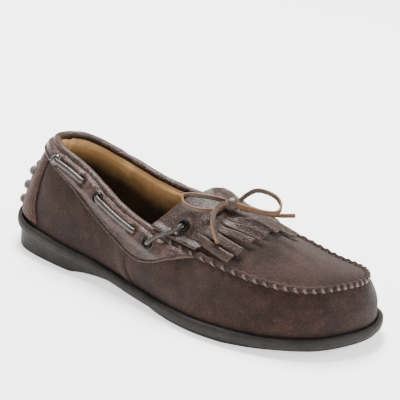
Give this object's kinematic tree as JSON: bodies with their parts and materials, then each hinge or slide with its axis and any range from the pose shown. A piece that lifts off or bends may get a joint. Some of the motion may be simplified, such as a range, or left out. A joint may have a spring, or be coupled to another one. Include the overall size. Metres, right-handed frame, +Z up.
{
  "type": "moccasin",
  "caption": "Right-foot suede driving moccasin with a whip-stitched apron, laced leather collar, fringed kiltie tied in a bow, and a rubber sole with heel pebbles.",
  "frame": {"origin": "on the floor, under the middle of the shoe's length and width", "axes": "+X to the toe, +Y to the inner side of the foot, +Z up"},
  "size_m": [0.2994, 0.1094, 0.095],
  "materials": {
    "suede": "napped suede, dark brown",
    "grain_leather": "pebbled grain leather, satin",
    "heel_leather": "soft leather, matt",
    "lining_leather": "smooth tan lining leather",
    "sole_rubber": "matt dark rubber",
    "pebble_rubber": "matt grey rubber",
    "eyelet_metal": "nickel plated",
    "lace_leather": "waxed lace leather with raw tan edges",
    "shank_steel": "plain spring steel",
    "cork": "bonded cork",
    "fibre_board": "pressed fibre board",
    "foam": "open foam",
    "stiffener": "resin-filled sheet"
  },
  "bodies": {
    "shoe": {"apron": "suede", "apron_lining": "lining_leather", "apron_seam_roll": "suede", "collar_foam": "foam", "collar_inner": "grain_leather", "collar_lace": "lace_leather", "collar_outer": "grain_leather", "cross_lace_inner": "lace_leather", "cross_lace_outer": "lace_leather", "eyelet_front_inner": "eyelet_metal", "eyelet_front_outer": "eyelet_metal", "eyelet_middle_inner": "eyelet_metal", "eyelet_middle_outer": "eyelet_metal", "eyelet_rear_inner": "eyelet_metal", "eyelet_rear_outer": "eyelet_metal", "heel_counter": "stiffener", "heel_pad": "foam", "heel_patch": "heel_leather", "heel_pebble_plate": "pebble_rubber", "insole_board": "fibre_board", "kiltie_fringe": "grain_leather", "midsole_filler": "cork", "mouth_binding": "grain_leather", "outsole": "sole_rubber", "quarter_inner": "suede", "quarter_lining": "lining_leather", "quarter_outer": "suede", "shank": "shank_steel", "sock_liner": "lining_leather", "vamp_lining": "lining_leather", "vamp_wall": "suede", "whip_lace": "lace_leather"},
    "tongue_flap": {"tongue": "grain_leather", "kiltie_saddle": "grain_leather", "eyelet_kiltie_outer": "eyelet_metal", "eyelet_kiltie_inner": "eyelet_metal", "tie_lace_outer": "lace_leather", "tie_lace_inner": "lace_leather", "bow_knot": "lace_leather", "bow_loop_outer": "lace_leather", "bow_loop_inner": "lace_leather", "bow_tail_outer": "lace_leather", "bow_tail_inner": "lace_leather"}
  },
  "joints": [
    {"name": "tongue_lift", "type": "hinge", "parent": "shoe", "child": "tongue_flap", "pos_m": [0.0345, 0, 0.077], "axis": [0, 1, 0], "range_deg": [0, 12], "deforming": ["cross_lace_outer", "cross_lace_inner"]}
  ]
}
